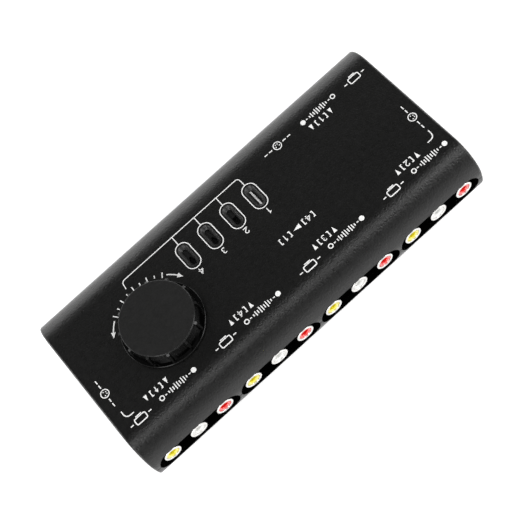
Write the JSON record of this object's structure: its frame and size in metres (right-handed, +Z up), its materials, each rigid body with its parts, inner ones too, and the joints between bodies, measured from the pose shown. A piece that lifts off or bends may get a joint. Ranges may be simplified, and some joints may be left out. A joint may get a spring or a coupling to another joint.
{
  "type": "audio video selector box",
  "caption": "Flat black tabletop audio-video selector box with round shoulders, a ribbed selector knob, a row of indicator windows and colour-coded phono sockets.",
  "frame": {"origin": "on the surface that the feet stand on, under the middle of the case", "axes": "+X along the case towards the knob end, +Y towards the long row of sockets, +Z up"},
  "size_m": [0.178, 0.0826, 0.0411],
  "materials": {
    "case_plastic": "fine-grained matte black moulding",
    "knob_plastic": "fine-grained matte black moulding",
    "foot_rubber": "matte",
    "screw_steel": "zinc plated",
    "board_laminate": "solder-masked laminate",
    "shaft_alloy": "turned",
    "spring_steel": "bright spring steel",
    "slider_plastic": "natural moulding",
    "indicator_white": "smooth white",
    "switch_plastic": "smooth moulding",
    "contact_brass": "plated",
    "socket_black": "smooth black moulding",
    "socket_nickel": "bright nickel plating",
    "core_yellow": "smooth yellow moulding",
    "core_white": "smooth white moulding",
    "core_red": "smooth red moulding"
  },
  "bodies": {
    "case": {"board_screws": "screw_steel", "case_screws": "screw_steel", "detent_spring": "spring_steel", "keeper_screws": "screw_steel", "lower_case": "case_plastic", "main_board": "board_laminate", "phono_contacts_in1": "contact_brass", "phono_contacts_in2": "contact_brass", "phono_contacts_in3": "contact_brass", "phono_contacts_in4": "contact_brass", "phono_contacts_out": "contact_brass", "phono_housings_in1": "socket_black", "phono_housings_in2": "socket_black", "phono_housings_in3": "socket_black", "phono_housings_in4": "socket_black", "phono_housings_out": "socket_black", "phono_left_core_in1": "core_white", "phono_left_core_in2": "core_white", "phono_left_core_in3": "core_white", "phono_left_core_in4": "core_white", "phono_left_core_out": "core_white", "phono_right_core_in1": "core_red", "phono_right_core_in2": "core_red", "phono_right_core_in3": "core_red", "phono_right_core_in4": "core_red", "phono_right_core_out": "core_red", "phono_sleeves_in1": "socket_nickel", "phono_sleeves_in2": "socket_nickel", "phono_sleeves_in3": "socket_nickel", "phono_sleeves_in4": "socket_nickel", "phono_sleeves_out": "socket_nickel", "phono_video_core_in1": "core_yellow", "phono_video_core_in2": "core_yellow", "phono_video_core_in3": "core_yellow", "phono_video_core_in4": "core_yellow", "phono_video_core_out": "core_yellow", "rubber_feet": "foot_rubber", "slider_keeper": "slider_plastic", "svideo_block_in1": "socket_black", "svideo_block_in2": "socket_black", "svideo_block_out": "socket_black", "svideo_contacts": "contact_brass", "svideo_core_in1": "socket_black", "svideo_core_in2": "socket_black", "svideo_core_out": "socket_black", "svideo_shield_in1": "socket_nickel", "svideo_shield_in2": "socket_nickel", "svideo_shield_out": "socket_nickel", "switch_base": "switch_plastic", "switch_contacts": "contact_brass", "switch_lid": "switch_plastic", "upper_case": "case_plastic"},
    "selector": {"selector_knob": "knob_plastic", "selector_shaft": "shaft_alloy", "shaft_clip": "spring_steel", "drive_pinion": "slider_plastic", "switch_rotor": "switch_plastic", "switch_wipers": "contact_brass"},
    "indicator": {"indicator_slider": "slider_plastic", "indicator_bar": "indicator_white"}
  },
  "joints": [
    {"name": "knob_turn", "type": "hinge", "parent": "case", "child": "selector", "pos_m": [0.0479, 0.00246, 0.032], "axis": [0, 0, 1], "range_deg": [0, 135], "deforming": ["detent_spring"]},
    {"name": "indicator_slide", "type": "slide", "parent": "case", "child": "indicator", "axis": [1, 0, 0], "range_m": [0, 0.03684]}
  ],
  "couplings": [
    {"joint": "indicator_slide", "follows": "knob_turn", "m_per_rad": 0.015635}
  ]
}
